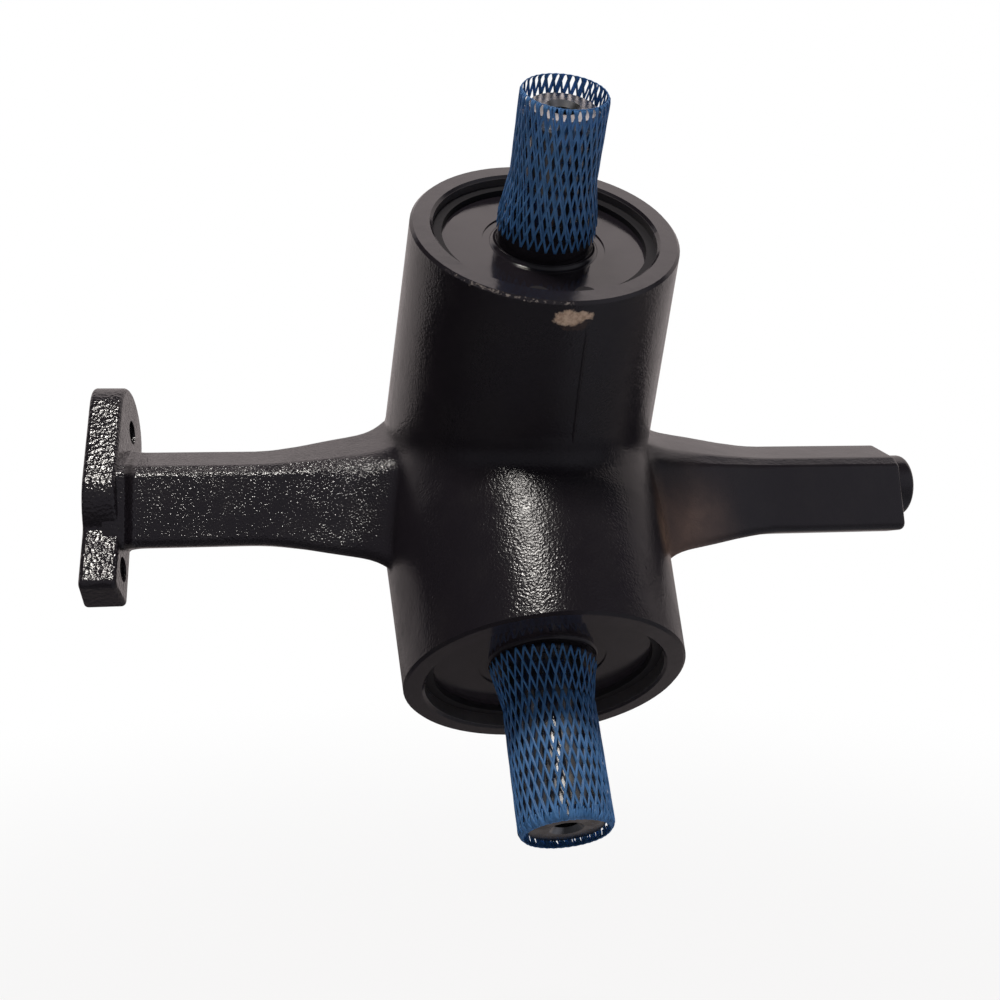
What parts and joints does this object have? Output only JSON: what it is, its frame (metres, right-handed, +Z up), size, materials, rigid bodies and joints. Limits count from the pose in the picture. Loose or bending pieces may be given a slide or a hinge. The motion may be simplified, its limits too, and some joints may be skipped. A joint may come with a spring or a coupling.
{
  "type": "auger gearbox",
  "caption": "Cast elbow gearbox for a grain auger: barrels in a V with splined shafts under protective nets, bevel gears inside, a flanged arm and a plain arm.",
  "frame": {"origin": "centre of the flange's outer face, on the arms' axis", "axes": "+X along the arms from the flange to the plain arm's end, +Z up, shafts lean to -Y"},
  "size_m": [0.3884, 0.207, 0.3136],
  "materials": {
    "black_paint": "gloss black paint over rough casting",
    "cover_steel": "satin black",
    "plug_steel": "gloss black",
    "copper": "soft copper",
    "black_rubber": "matt",
    "ring_steel": "phosphated",
    "bearing_steel": "ground",
    "cage_steel": "pressed sheet",
    "gear_steel": "hardened",
    "shaft_steel": "turned, oiled",
    "blue_net": "stretch netting"
  },
  "bodies": {
    "housing": {"housing": "black_paint", "filler_plug": "plug_steel", "plug_washer": "copper", "upper_end_cover": "cover_steel", "upper_cover_o_ring": "black_rubber", "upper_oil_seal": "black_rubber", "upper_retaining_ring": "ring_steel", "upper_shim": "bearing_steel", "upper_inner_bearing_cup": "bearing_steel", "upper_outer_bearing_cup": "bearing_steel", "lower_end_cover": "cover_steel", "lower_cover_o_ring": "black_rubber", "lower_oil_seal": "black_rubber", "lower_retaining_ring": "ring_steel", "lower_shim": "bearing_steel", "lower_inner_bearing_cup": "bearing_steel", "lower_outer_bearing_cup": "bearing_steel"},
    "upper_inner_roller_set": {"upper_inner_bearing_rollers": "bearing_steel", "upper_inner_bearing_cage": "cage_steel"},
    "upper_outer_roller_set": {"upper_outer_bearing_rollers": "bearing_steel", "upper_outer_bearing_cage": "cage_steel"},
    "upper_shaft": {"upper_shaft": "shaft_steel", "upper_bevel_gear": "gear_steel", "upper_gear_key": "gear_steel", "upper_lock_washer": "gear_steel", "upper_gear_nut": "gear_steel", "upper_cone_spacer": "bearing_steel", "upper_shaft_ring": "ring_steel", "upper_inner_bearing_cone": "bearing_steel", "upper_outer_bearing_cone": "bearing_steel"},
    "upper_net": {"upper_net": "blue_net"},
    "lower_inner_roller_set": {"lower_inner_bearing_rollers": "bearing_steel", "lower_inner_bearing_cage": "cage_steel"},
    "lower_outer_roller_set": {"lower_outer_bearing_rollers": "bearing_steel", "lower_outer_bearing_cage": "cage_steel"},
    "lower_shaft": {"lower_shaft": "shaft_steel", "lower_bevel_gear": "gear_steel", "lower_gear_key": "gear_steel", "lower_lock_washer": "gear_steel", "lower_gear_nut": "gear_steel", "lower_cone_spacer": "bearing_steel", "lower_shaft_ring": "ring_steel", "lower_inner_bearing_cone": "bearing_steel", "lower_outer_bearing_cone": "bearing_steel"},
    "lower_net": {"lower_net": "blue_net"}
  },
  "joints": [
    {"name": "lower_shaft_spin", "type": "hinge", "parent": "housing", "child": "lower_shaft", "pos_m": [0.194, 0.01461, 0.01904], "axis": [0, -0.6088, -0.7934], "continuous": true},
    {"name": "lower_inner_roller_spin", "type": "hinge", "parent": "housing", "child": "lower_inner_roller_set", "pos_m": [0.194, 0.01461, 0.01904], "axis": [0, -0.6088, -0.7934], "continuous": true},
    {"name": "lower_outer_roller_spin", "type": "hinge", "parent": "housing", "child": "lower_outer_roller_set", "pos_m": [0.194, 0.01461, 0.01904], "axis": [0, -0.6088, -0.7934], "continuous": true},
    {"name": "lower_net_slide", "type": "slide", "parent": "lower_shaft", "child": "lower_net", "axis": [0, -0.6088, -0.7934], "range_m": [0, 0.08]},
    {"name": "upper_shaft_spin", "type": "hinge", "parent": "housing", "child": "upper_shaft", "pos_m": [0.194, 0.01461, 0.01904], "axis": [0, -0.6088, 0.7934], "continuous": true},
    {"name": "upper_inner_roller_spin", "type": "hinge", "parent": "housing", "child": "upper_inner_roller_set", "pos_m": [0.194, 0.01461, 0.01904], "axis": [0, -0.6088, 0.7934], "continuous": true},
    {"name": "upper_outer_roller_spin", "type": "hinge", "parent": "housing", "child": "upper_outer_roller_set", "pos_m": [0.194, 0.01461, 0.01904], "axis": [0, -0.6088, 0.7934], "continuous": true},
    {"name": "upper_net_slide", "type": "slide", "parent": "upper_shaft", "child": "upper_net", "axis": [0, -0.6088, 0.7934], "range_m": [0, 0.06]}
  ],
  "couplings": [
    {"joint": "lower_inner_roller_spin", "follows": "lower_shaft_spin", "ratio": 0.43383},
    {"joint": "lower_outer_roller_spin", "follows": "lower_shaft_spin", "ratio": 0.43383},
    {"joint": "upper_shaft_spin", "follows": "lower_shaft_spin", "ratio": -1},
    {"joint": "upper_inner_roller_spin", "follows": "lower_shaft_spin", "ratio": -0.43383},
    {"joint": "upper_outer_roller_spin", "follows": "lower_shaft_spin", "ratio": -0.43383}
  ]
}
